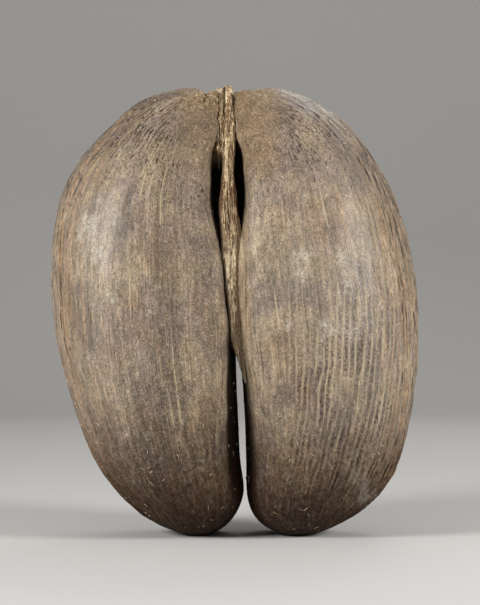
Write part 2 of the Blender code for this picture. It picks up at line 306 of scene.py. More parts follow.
def lobe_grid(side):
    """One lobe's rings as arrays: points (ring, place, xyz), share from crown to foot, angle."""
    loop = [side["crown"], *side["flank"], side["foot"], *reversed(side["wall"])]
    curve = closed_spline(loop) * MM
    at_foot = SPLINE_STEPS * (1 + len(side["flank"]))
    row = np.arange(1, RINGS) / RINGS
    share = row - END_CROWDING * np.sin(TAU * row) / TAU
    outer = along(curve[: at_foot + 1], share)
    inner = along(np.concatenate([curve[at_foot:], curve[:1]])[::-1], share)
    centre = outer + (inner - outer) * FLANK_SHARE
    angle = TAU * np.arange(RING_POINTS) / RING_POINTS
    share, angle = np.meshgrid(share, angle, indexing="ij")
    across, deep = np.cos(angle), np.sin(angle)

    place = angle / (math.pi / 4)
    first = place.astype(int) % 8
    ease = (1 - np.cos(math.pi * (place % 1))) / 2
    table = np.array(side["squareness"])
    power = table[first] * (1 - ease) + table[(first + 1) % 8] * ease
    at_mouth = np.maximum(0, -across * deep * 2) * (deep > 0)
    power = power + MOUTH_SQUARENESS * at_mouth * (1 - ramp(*MOUTH_ROUNDING, share))

    phase = side["phase"]
    swell = np.sin(3 * angle + 4.1 * share + phase)
    swell += 0.7 * np.sin(5 * angle - 7.3 * share + 2 * phase)
    swell = SWELL * np.sin(math.pi * share) * swell / FRONT_DEPTH
    size = squared(across, deep, power) * (1 + swell)
    arm = np.where(
        (across > 0)[..., None], (outer - centre)[:, None, :], (centre - inner)[:, None, :]
    )
    flat = centre[:, None, :] + arm * (across * size)[..., None]
    level = ramp(0, END_ZONE, np.minimum(share, 1 - share))
    height = centre[:, None, 1] + (flat[..., 1] - centre[:, None, 1]) * level
    depth = np.where(deep > 0, side_depth(height, FRONT_DEPTH), side_depth(height, BACK_DEPTH))
    x, z = flat[..., 0], flat[..., 1]
    return np.stack([x, -depth * deep * size - lean(z), z], axis=-1), share, angle


def ring_quads(rows, count):
    """Point numbers of a grid of closed rings, and its quads."""
    index = np.arange(rows * count).reshape(rows, count)
    ahead = np.roll(index, -1, axis=1)
    quads = np.stack([index[:-1], ahead[:-1], ahead[1:], index[1:]], axis=-1).reshape(-1, 4)
    return index, ahead, quads.tolist()


def grid_mesh(name, rings, first_tip=None, last_tip=None):
    """A closed mesh from rings of points, with a fan to a tip or one flat cap at each end."""
    rows, count = rings.shape[:2]
    verts = rings.reshape(-1, 3)
    index, ahead, faces = ring_quads(rows, count)
    for row, tip in ((0, first_tip), (rows - 1, last_tip)):
        if tip is None:
            faces.append(index[row].tolist())
            continue
        verts = np.vstack([verts, tip])
        end = len(verts) - 1
        for a, b in zip(index[row].tolist(), ahead[row].tolist()):
            faces.append((a, b, end))
    mesh = new_mesh(name, verts.tolist(), faces)
    bm = bmesh.new()
    bm.from_mesh(mesh)
    bmesh.ops.recalc_face_normals(bm, faces=bm.faces)
    bm.to_mesh(mesh)
    bm.free()
    return mesh


def new_mesh(name, verts, faces):
    mesh = bpy.data.meshes.new(name)
    mesh.from_pydata(verts, [], faces)
    return mesh


def add_object(name, data):
    thing = bpy.data.objects.new(name, data)
    bpy.context.scene.collection.objects.link(thing)
    return thing


def cut_foot(mesh):
    """Cuts off what lies below the floor and closes the cut."""
    bm = bmesh.new()
    bm.from_mesh(mesh)
    everything = bm.verts[:] + bm.edges[:] + bm.faces[:]
    cut = bmesh.ops.bisect_plane(
        bm, geom=everything, plane_co=(0, 0, 0), plane_no=(0, 0, -1), clear_outer=True
    )
    rim = [e for e in cut["geom_cut"] if isinstance(e, bmesh.types.BMEdge)]
    bmesh.ops.contextual_create(bm, geom=rim)
    bmesh.ops.triangulate(bm, faces=[f for f in bm.faces if len(f.verts) > 4])
    bm.to_mesh(mesh)
    bm.free()


def bridge_rings():
    """Level rings of the web of shell that joins the lobes above the gap."""
    heights, reaches, clefts = np.array(BRIDGE_STATIONS).T
    columns = np.linspace(-1, 1, BRIDGE_COLUMNS + 1)
    rings = []
    for k in range(BRIDGE_LEVELS + 1):
        rise = (1 - math.cos(math.pi * k / BRIDGE_LEVELS)) / 2
        height = BRIDGE_BOTTOM + (BRIDGE_TOP - BRIDGE_BOTTOM) * rise
        reach = np.interp(height, heights * MM, reaches)
        cleft = np.interp(height, heights * MM, clefts) * MM
        back = side_depth(height, BACK_DEPTH, BRIDGE_TOP + 1 * MM)
        front = min(cleft - MOUTH_SHARE * side_depth(height, FRONT_DEPTH), 0)
        x = BRIDGE_MIDDLE + columns * BRIDGE_HALF_WIDTH
        hollow = BRIDGE_HOLLOW * (columns**2 - 1)
        behind = np.stack([x, (reach + hollow) * back, 0 * x + height], axis=1)
        before = np.stack([x[::-1], 0 * x + front, 0 * x + height], axis=1)
        rings.append(np.concatenate([behind, before]))
    return np.array(rings)


def mouth_point(degrees):
    """Point of the cleft's mouth in the YZ plane and the way out of it, by turn from the top."""
    turn = math.radians(degrees)
    rise = TOP_HEIGHT - BELLY_HEIGHT if degrees <= 90 else BELLY_HEIGHT + FOOT_CUT
    deep = MOUTH_SHARE * (FRONT_DEPTH if degrees > 0 else BACK_DEPTH)
    point = np.array([0, -deep * math.sin(turn), BELLY_HEIGHT + rise * math.cos(turn)])
    out = np.array([0, -math.sin(turn) / deep, math.cos(turn) / rise])
    return point, out / np.linalg.norm(out)


def strip_frames(count):
    """For steps along the strip: middle point, way out, half width, half depth."""
    table = np.array(STRIP_STATIONS, dtype=float)
    frames = []
    turns = table[:, 0]
    for degrees in np.linspace(turns[0], turns[-1], count + 1):
        left, right, proud, deep = (np.interp(degrees, turns, row) * MM for row in table.T[1:])
        point, out = mouth_point(degrees)
        middle = point + out * (proud - deep / 2)
        middle[0] = (left + right) / 2
        frames.append((middle, out, (right - left) / 2, deep / 2, degrees))
    return frames


def groove_rings(count, around, room):
    """The strip's form with room round it, but none where it has grown into the right lobe."""
    turn = TAU * np.arange(around) / around
    across, outward = np.cos(turn), np.sin(turn)
    size = squared(across, outward, STRIP_SQUARENESS)
    rings = []
    for middle, out, half_width, half_depth, degrees in strip_frames(count):
        ring = middle + np.outer(outward * size * (half_depth + room), out)
        grown = ramp(*GROWN_IN, degrees) * (across > 0)
        ring[:, 0] += across * size * (half_width + room - grown * (room + GROWN_DEPTH))
        rings.append(ring)
    return np.array(rings)


def join_solids(base, others):
    """Applies unions and cuts to an object's mesh. others holds (object, operation)."""
    for other, operation in others:
        step = base.modifiers.new("join", "BOOLEAN")
        step.operation = operation
        step.solver = "MANIFOLD"
        step.object = other
    evaluated = base.evaluated_get(bpy.context.evaluated_depsgraph_get())
    mesh = bpy.data.meshes.new_from_object(evaluated)
    base.modifiers.clear()
    base.data = mesh
    for other, _ in others:
        bpy.data.objects.remove(other)
    return mesh


def read_rows(items, field, width, kind=float):
    """One field of all the items as an array, a row for each."""
    values = np.empty(len(items) * width, dtype=kind)
    items.foreach_get(field, values)
    return values.reshape(-1, width)


def mesh_points(mesh):
    return read_rows(mesh.vertices, "co", 3)


def mesh_normals(mesh):
    return read_rows(mesh.vertex_normals, "vector", 3)


def set_points(mesh, points):
    mesh.vertices.foreach_set("co", points.ravel())
    mesh.update()


def edge_pairs(mesh):
    return read_rows(mesh.edges, "vertices", 2, np.int64)


def relax(points, pairs, weight, rounds):
    """Moves points towards the mean of their neighbours, as far as each one's weight says."""
    degree = np.bincount(pairs.ravel(), minlength=len(points)).astype(float)
    for _ in range(rounds):
        total = np.zeros_like(points)
        for k in range(3):
            total[:, k] = np.bincount(pairs[:, 0], points[pairs[:, 1], k], len(points))
            total[:, k] += np.bincount(pairs[:, 1], points[pairs[:, 0], k], len(points))
        points = points + weight[:, None] * (total / degree[:, None] - points)
    return points


def store(mesh, name, values):
    """Keeps a number or vector for each point, which the materials read by its name."""
    kind = "FLOAT_VECTOR" if values.ndim == 2 else "FLOAT"
    layer = mesh.attributes.new(name, kind, "POINT")
    field = "vector" if values.ndim == 2 else "value"
    layer.data.foreach_set(field, values.astype(np.float32).ravel())


def srgb(red, green, blue):
    """A colour as read on a screen, 0 to 255, in linear light."""
    values = np.array([red, green, blue]) / 255
    linear = np.where(values <= 0.04045, values / 12.92, ((values + 0.055) / 1.055) ** 2.4)
    return (*linear.tolist(), 1.0)


class Nodes:
    """Short calls for building one material's nodes."""

    def __init__(self, name):
        self.material = bpy.data.materials.new(name)
        self.material.use_nodes = True
        self.tree = self.material.node_tree
        self.tree.nodes.clear()
        self.shader = self.tree.nodes.new("ShaderNodeBsdfPrincipled")
        output = self.tree.nodes.new("ShaderNodeOutputMaterial")
        self.tree.links.new(self.shader.outputs[0], output.inputs[0])

    def put(self, socket, value):
        """Gives a socket another socket's output, a colour by its name or a plain value."""
        if isinstance(value, bpy.types.NodeSocket):
            self.tree.links.new(value, socket)
        else:
            socket.default_value = srgb(*COLOURS[value]) if isinstance(value, str) else value

    def look(self, inputs):
        """Gives the shader's inputs their values."""
        for name, value in inputs.items():
            self.put(self.shader.inputs[name], value)

    def add(self, kind, output, inputs, **settings):
        """One of the outputs of a new node with these inputs and settings."""
        node = self.tree.nodes.new("ShaderNode" + kind)
        for name, value in settings.items():
            setattr(node, name, value)
        for name, value in inputs.items():
            self.put(node.inputs[name], value)
        return node.outputs[output]

    def attribute(self, name, output="Fac"):
        return self.add("Attribute", output, {}, attribute_name=name)

    def position(self):
        return self.add("TexCoord", "Object", {})

    def scaled(self, vector, scale, offset=(0, 0, 0)):
        return self.add("Mapping", 0, {"Vector": vector, "Scale": scale, "Location": offset})

    def along(self, grain, run, offset=(0, 0, 0)):
        """The grain in millimetres, with its length from crown to foot scaled to `run`."""
        return self.scaled(grain, (1000, 1000, run), offset)

    def noise(self, vector, scale, detail=3.0, roughness=0.55, distortion=0.0):
        inputs = {"Vector": vector, "Scale": scale, "Detail": detail, "Roughness": roughness}
        return self.add("TexNoise", "Fac", inputs | {"Distortion": distortion})

    def cells(self, vector, scale, feature="F1"):
        inputs = {"Vector": vector, "Scale": scale}
        return self.add("TexVoronoi", "Distance", inputs, feature=feature)

    def span(self, value, low, high, to_low=0.0, to_high=1.0, smooth=True):
        inputs = dict(enumerate((value, low, high, to_low, to_high)))
        kind = "SMOOTHSTEP" if smooth else "LINEAR"
        return self.add("MapRange", "Result", inputs, interpolation_type=kind)

    def math(self, operation, first, second=0.0, clamp=False):
        return self.add("Math", 0, {0: first, 1: second}, operation=operation, use_clamp=clamp)

    def mix(self, share, first, second, blend="MIX"):
        inputs = {"Factor": share, 6: first, 7: second}
        return self.add("Mix", 2, inputs, data_type="RGBA", blend_type=blend, clamp_factor=True)

    def times(self, first, second):
        return self.math("MULTIPLY", first, second)

    def shade(self, colour, value, low, high, dark, light, share=1.0, smooth=False):
        """Multiplies the colour by dark to light as the value goes from low to high."""
        factor = self.span(value, low, high, dark, light, smooth)
        return self.mix(share, colour, factor, "MULTIPLY")

    def lay(self, colour, over, strength, *span):
        """Lays another colour over the first, as strongly as a span times the strength."""
        return self.mix(self.times(self.span(*span), strength), colour, over)

    def part(self, vector, axis):
        return self.add("SeparateXYZ", axis, {0: vector})

    def bump(self, height, distance, strength=1.0, under=None):
        inputs = {"Height": height, "Distance": distance, "Strength": strength}
        return self.add("Bump", "Normal", inputs | ({"Normal": under} if under else {}))


def shell_mesh():
    """The nut's skin: both lobes and the bridge in one, with the groove for the husk."""
    grids = [lobe_grid(side) for side in (LEFT, RIGHT)]
    corners = np.concatenate([points.reshape(-1, 3) for points, _, _ in grids])
    middle = (corners.min(axis=0) + corners.max(axis=0)) / 2
    middle[2] = 0
    solids = []
    for side, (points, _, _) in zip((LEFT, RIGHT), grids):
        crown, foot = (np.array([x, 0, z]) * MM for x, z in (side["crown"], side["foot"]))
        foot[1] = -lean(foot[2])
        mesh = grid_mesh("lobe", points - middle, crown - middle, foot - middle)
        cut_foot(mesh)
        solids.append(add_object("lobe", mesh))
    web = add_object("bridge", grid_mesh("bridge", bridge_rings() - middle))
    cutter = groove_rings(GROOVE_STEPS, GROOVE_POINTS, GROOVE_ROOM) - middle
    groove = add_object("groove", grid_mesh("groove", cutter))
    shell = solids[0]
    mesh = join_solids(shell, [(solids[1], "UNION"), (web, "UNION"), (groove, "DIFFERENCE")])
    return shell, mesh, grids, middle


def sharp_weight(mesh, angle, rounds):
    """1 at the vertices of edges sharper than the angle, fading over the edges around them."""
    bm = bmesh.new()
    bm.from_mesh(mesh)
    weight = np.zeros(len(bm.verts))
    for edge in bm.edges:
        if len(edge.link_faces) == 2 and edge.calc_face_angle() > angle:
            weight[edge.verts[0].index] = weight[edge.verts[1].index] = 1
    bm.free()
    pairs = edge_pairs(mesh)
    for step in range(rounds):
        spread = weight.copy()
        fade = 1 - (step + 1) / (rounds + 1)
        np.maximum.at(spread, pairs[:, 0], np.where(weight[pairs[:, 1]] > 0, fade, 0))
        np.maximum.at(spread, pairs[:, 1], np.where(weight[pairs[:, 0]] > 0, fade, 0))
        weight = np.maximum(weight, spread)
    return weight


def nearest_source(points, sources):
    """For each point the number of the source point nearest to it."""
    tree = KDTree(len(sources))
    for i, source in enumerate(sources.tolist()):
        tree.insert(source, i)
    tree.balance()
    return np.array([tree.find(p)[1] for p in points.tolist()])


def lobe_places(points, grids, middle):
    """For each point the lobe it lies on (0 or 1), its share from crown to foot and its angle."""
    sources = np.concatenate([(p - middle).reshape(-1, 3) for p, _, _ in grids])
    nearest = nearest_source(points, sources)
    share = np.concatenate([s.ravel() for _, s, _ in grids])[nearest]
    angle = np.concatenate([a.ravel() for _, _, a in grids])[nearest]
    lobe = (nearest >= len(sources) // 2).astype(float)
    return lobe, share, angle


def shape_shell(mesh, grids, middle):
    """Softens the seams, then gives the skin its waves, ridges and lumps and its masks."""
    points = mesh_points(mesh)
    pairs = edge_pairs(mesh)
    soft = sharp_weight(mesh, math.radians(SEAM_ANGLE), SEAM_REACH) * SEAM_SOFTNESS
    soft[points[:, 2] < 3 * MM] = 0
    points = relax(points, pairs, soft, SEAM_ROUNDS)
    set_points(mesh, points)

    lobe, share, angle = lobe_places(points, grids, middle)
    grain = np.stack([np.cos(angle), np.sin(angle), share], axis=1)
    grain = grain * (GRAIN_RADIUS, GRAIN_RADIUS, GRAIN_LENGTH) + lobe[:, None] * GRAIN_SHIFT
    front = ramp(-0.2, 0.5, np.sin(angle))
    x, y, z = points.T

    # Where the cleft runs: close to the seam of the lobes, facing the other lobe. This mask
    # carries the painted shade in the cleft and the gap
    behind = ramp(math.radians(136), math.radians(150), angle)
    behind *= ramp(math.radians(232), math.radians(212), angle)
    in_cleft = behind * ramp_mm(30, 16, np.abs(x + 1.5 * MM))
    left_rim, right_rim = (np.interp(z, GAP_HEIGHTS, rim) for rim in (GAP_LEFT, GAP_RIGHT))
    in_gap = ramp(left_rim - 1.2 * MM, left_rim + 0.6 * MM, x)
    in_gap *= ramp(right_rim + 1.0 * MM, right_rim - 0.6 * MM, x)
    in_cleft = np.maximum(in_cleft, in_gap * ramp_mm(140, 128, z))

    ridge_zone = lobe * front * ramp(0.36, 0.55, share) * ramp(0.91, 0.78, share)
    uneven = 0.75 + 0.25 * np.clip(waves(points, 40, 15), -2, 1)
    ridge_zone = np.clip(ridge_zone * (ramp_mm(24, 44, x) * uneven), 0, 1)
    flank_zone = ramp(0.45, 0.9, np.cos(angle)) * ramp(0.06, 0.2, share)
    top_zone = ramp(0.42, 0.14, share)

    stretch = np.array([1, 1, 0.05])
    warp = 1.5 * MM * waves(points, 50, 5)
    bent = grain.copy()
    bent[:, 0] += warp
    bent[:, 1] += warp
    turn = (angle + math.pi / 2) % TAU - RIDGE_TWIST * share
    wander = 0.7 * waves(points, 26, 11) + 0.6 * waves(grain * stretch, 12, 14)
    line = np.cos(RIDGE_COUNT * turn + wander)
    ridge = ridge_zone * 1.6 * line + (1 - ridge_zone) * waves(bent * stretch, 5, 11)
    fine_ridge = waves(bent * stretch, 3.6, 12)
    facing = np.abs(mesh_normals(mesh)[:, 1])
    lift = (0.12 + 0.5 * facing) * MM * waves(points, 70, 1)
    for length, height, seed in SHELL_WAVES:
        lift += height * MM * waves(points, length, seed)
    lift += (0.10 + 0.20 * ridge_zone + 0.10 * flank_zone + 0.1 * top_zone) * MM * ridge
    lift += (0.04 + 0.10 * ridge_zone + 0.05 * flank_zone) * MM * fine_ridge

    # The crown: a short dent left of the husk, and rough shelves on both sides of it
    over_top = ramp_mm(275, 292, z)
    dent = bell(x, DENT_PLACE * MM, DENT_WIDTH * MM) * ramp_mm(34, 20, np.abs(y + 6 * MM))
    shelf = ramp_mm(-17.5, -15, x) * ramp_mm(10, 7.5, x)
    rough = waves(points, 3.4, 21) * 0.5 + waves(points, 6, 22) * 0.5
    lift -= over_top * DENT_DEPTH * MM * dent
    lift += over_top * shelf * 0.55 * MM * rough

    lift *= 1 - 0.85 * behind * in_cleft
    lift *= ramp_mm(2, 14, z)
    points = points + mesh_normals(mesh) * lift[:, None]
    points[:, 2] = np.maximum(points[:, 2], 0)
    set_points(mesh, points)

    woolly = ramp_mm(222, 262, z) * ramp_mm(44, 18, np.abs(x + 4 * MM))
    woolly *= ramp_mm(30, -10, y)
    seam = ramp_mm(20, 7, np.abs(x + 2 * MM)) * ramp(0, 30 * MM, y)
    # Pale spots: worn patches, and painted highlights on the lit faces of the lobes
    scuffed = np.zeros(len(points))
    facing_front = ramp(-0.3, 0.1, np.sin(angle))
    for across, height, wide, tall, strength in WEAR_AND_HIGHLIGHT_SPOTS:
        spot = ((x / MM - across) / wide) ** 2 + ((z / MM - height) / tall) ** 2
        scuffed = np.maximum(scuffed, strength * np.exp(-spot) * facing_front)
    # The left lobe's face towards the cleft, made darker: partly its own grey-lilac tone, partly
    # painted shade
    dim = (1 - 0.7 * lobe) * ramp(math.radians(56), math.radians(104), angle)
    fibrous = ramp_mm(11, 3, np.abs(x - 2.5 * MM)) * ramp_mm(214, 200, z)
    fibrous *= ramp_mm(120, 140, z) * front
    masks = {
        "grain": grain, "cleft": in_cleft, "flank": flank_zone, "crown": top_zone,
        "ridged": ridge_zone, "turn": turn, "wander": wander, "woolly": np.maximum(woolly, seam),
        "scuffed": scuffed, "dim": dim * ramp(math.radians(200), math.radians(170), angle),
        "fibrous": np.maximum(fibrous, over_top * shelf),
    }
    for name, values in masks.items():
        store(mesh, name, values)


def husk_relief(x, run, degrees, half_width, centre):
    """The strip's open face: its height over the plain form, its tone and how deep in a furrow
    it is, and where it has grown into a lobe, clings to the other one and is frayed low down.
    """
    share = (x - centre) / (2 * half_width) + 0.5
    rng = np.random.default_rng(30)

    def run_waves(shift, length, seed):
        return waves(run + shift, length, seed).reshape(run.shape)

    relief = np.full(x.shape, -3.0)
    tone = np.zeros(x.shape)
    for i in range(HUSK_STRANDS):
        drift = run_waves(i * 7.3, 70, 40 + i) * 0.022
        place = (i + 0.5) / HUSK_STRANDS + drift + rng.uniform(-0.02, 0.02)
        wide = rng.uniform(0.5, 0.85) / HUSK_STRANDS
        level = 0.30 * run_waves(i * 3.1, 60, 60 + i) + 0.12 * run_waves(i * 1.7, 16, 80 + i)
        height = level - 0.9 * ((share - place) / wide) ** 2
        mine = height > relief
        shade = rng.uniform(-0.9, 0.9) + 0.6 * run_waves(i * 5.9, 40, 100 + i)
        tone = np.where(mine, shade, tone)
        relief = np.maximum(relief, height)
    relief = np.maximum(relief, -1.5)
    # How deep in a furrow between strands: painted as shade
    valley = np.clip((-relief - 0.25) / 1.0, 0, 1)
    flat = np.stack([x.ravel(), np.broadcast_to(run, x.shape).ravel()], axis=1)
    lump = waves(flat * (1, 0.7), 2.1, 34, 60).reshape(x.shape)
    lump = 0.7 * lump + 0.6 * waves(flat * (1, 0.6), 5.0, 39).reshape(x.shape)
    hair = waves(flat * (1, 0.04), 1.5, 33).reshape(x.shape)
    low = ramp(66, 76, degrees)
    rough = ramp(20, 28, degrees) * ramp(49, 46.5, degrees) * ramp_mm(-6.4, -7.6, x)
    frayed = np.maximum(low, rough)
    lift = relief * (0.7 - 0.4 * frayed) + 0.15 * hair + 0.42 * frayed * lump
    # A pale straw ridge down the strip, raised, and lighter in tone partly as a painted highlight
    bright = bell(x, -5.4 * MM, 1.05 * MM) * ramp(39, 45, degrees)
    bright = bright * ramp(63, 54, degrees)
    lift += 1.3 * bright - 0.4 * rough
    on_top = ramp(32, 14, degrees)
    lift -= on_top * 1.0 * ramp_mm(-6.6, -7.4, x)
    lift -= on_top * 3.4 * ramp_mm(-2.2, -1.2, x)
    # The top prong's pale tip, lighter in tone partly as a painted highlight
    tip = bell(x, -4.3 * MM, 1.5 * MM)
    lift += on_top * 0.9 * tip
    tone = tone + 2.6 * bright + 3.6 * ramp(26, 10, degrees) * tip - 0.5 * rough
    tone = tone - 0.8 * ramp(14, 26, degrees) * (1 - bright)
    tone = tone - 2.0 * ramp(40, 46, degrees) * ramp(74, 66, degrees) * (1 - bright)
    tone = tone + 0.7 * low * lump
    tone = tone + 1.2 * bell(degrees, 78, 2.2) - 0.8 * ramp(91, 95, degrees)
    # Dark seams by the slit and beside the lump, painted shade
    seam = bell(x, -7.0 * MM, 0.55 * MM) * ramp(34, 28, degrees)
    lower_seam = 0.9 * bell(x, -8.2 * MM, 0.5 * MM) * ramp(28, 34, degrees)
    seam = np.maximum(seam, lower_seam * ramp(46, 42, degrees))
    valley = np.maximum(valley * (1 - bright), seam)
    valley = valley * (0.8 - 0.5 * frayed) + 0.45 * frayed * np.clip(-lump / 2, 0, 1)
    joined = ramp(66, 76, degrees) * ramp_mm(0.3, 4.6, x)
    clung = ramp(24, 32, degrees) * ramp_mm(-9.0, -12.0, x)
    clung = clung * ramp(47.2, 46.0, degrees)
    # Painted shade along the strip's left edge lower down
    side = ramp(0.26, 0.06, share) * ramp(58, 70, degrees)
    valley = np.maximum(valley, 0.7 * side)
    return lift, tone, np.clip(valley, 0, 1), joined, clung, np.broadcast_to(low, x.shape)


def meet_lobe(rings, joined, grid, middle):
    """Bends one side of the strip onto the face of the lobe beside it."""
    quads = ring_quads(*grid.shape[:2])[2]
    tree = BVHTree.FromPolygons((grid - middle).reshape(-1, 3).tolist(), quads)
    for row, place in zip(*np.nonzero(joined > 0.01)):
        x, y, z = rings[row, place]
        hit = front_point(tree, x, z)
        if hit is not None:
            level = min(hit.y - JOINED_RISE, y + JOINED_REACH)
            rings[row, place, 1] += joined[row, place] * (level - y)


def husk_mesh(middle, lobes):
    """The strip of husk: ridged along its length, parted into prongs at the top, frayed below."""
    frames = zip(*strip_frames(STRIP_STEPS))
    centres, out, half_width, half_depth, degrees = (
        np.reshape(row, (STRIP_STEPS + 1, -1)) for row in frames
    )
    turn = TAU * np.arange(STRIP_POINTS) / STRIP_POINTS
    across, outward = np.cos(turn), np.sin(turn)
    size = squared(across, outward, STRIP_SQUARENESS)
    steps = np.linalg.norm(np.diff(centres, axis=0), axis=1)
    run = np.concatenate([[0], np.cumsum(steps)])[:, None]

    wide = across * size * half_width
    x = centres[:, :1] + wide
    relief = husk_relief(x, run, degrees, half_width, centres[:, :1])
    lift, tone, valley, joined, clung, low = relief
    open_side = ramp(-0.1, 0.6, outward)
    ends = ramp(-17, -12, degrees) * ramp(110, 104, degrees)
    high = outward * size * half_depth + lift * MM * open_side * (0.35 + 0.65 * ends)
    edge = waves(run, 22, 35) * 0.22 * MM + waves(run, 4, 36) * 0.12 * MM
    edge = edge[:, None] * np.abs(across) * open_side
    rings = centres[:, None, :] + out[:, None, :] * high[..., None]
    rings[..., 0] += wide + edge
    rings -= middle
    rim = ramp(0.80, 1.0, across * size * np.ones_like(x))
    in_front = outward > 0.02
    meet_lobe(rings, joined * in_front, lobes[1], middle)
    meet_lobe(rings, CLUNG_SHARE * clung * in_front, lobes[0], middle)
    rings[..., 1] += RIM_SUNK * MM * rim * joined * in_front
    husk = add_object("husk", grid_mesh("husk", rings))
    cuts = []
    for slit in HUSK_SLITS:
        blade = add_object("slit", grid_mesh("slit", slit_rings(*slit) - middle))
        cuts.append((blade, "DIFFERENCE"))
    mesh = join_solids(husk, cuts)
    nearest = nearest_source(mesh_points(mesh), rings.reshape(-1, 3))
    place = np.stack([x, np.broadcast_to(run, x.shape), high], axis=-1).reshape(-1, 3)
    store(mesh, "grain", place[nearest])
    store(mesh, "tone", np.clip(tone / 4 + 0.5, 0, 1).ravel()[nearest])
    store(mesh, "valley", (valley * open_side).ravel()[nearest])
    store(mesh, "joined", joined.ravel()[nearest])
    store(mesh, "low", low.ravel()[nearest])
    return husk, mesh


def slit_rings(x_top, x_bottom, width, depth, first, last):
    """A thin blade along the strip, tapering to nothing at both of its ends."""
    rings = []
    for share in np.linspace(0, 1, 25):
        degrees = first + (last - first) * share
        point, out = mouth_point(degrees)
        taper = min(1, (1 - share) * 4 + 0.06, share * 8 + 0.3)
        point[0] = (x_top + (x_bottom - x_top) * share) * MM
        top = point + out * 9 * MM
        bottom = point - out * depth * taper * MM
        side = np.array([width / 2 * taper * MM, 0, 0])
        rings.append([top - side, top + side, bottom + side * 0.6, bottom - side * 0.6])
    return np.array(rings)


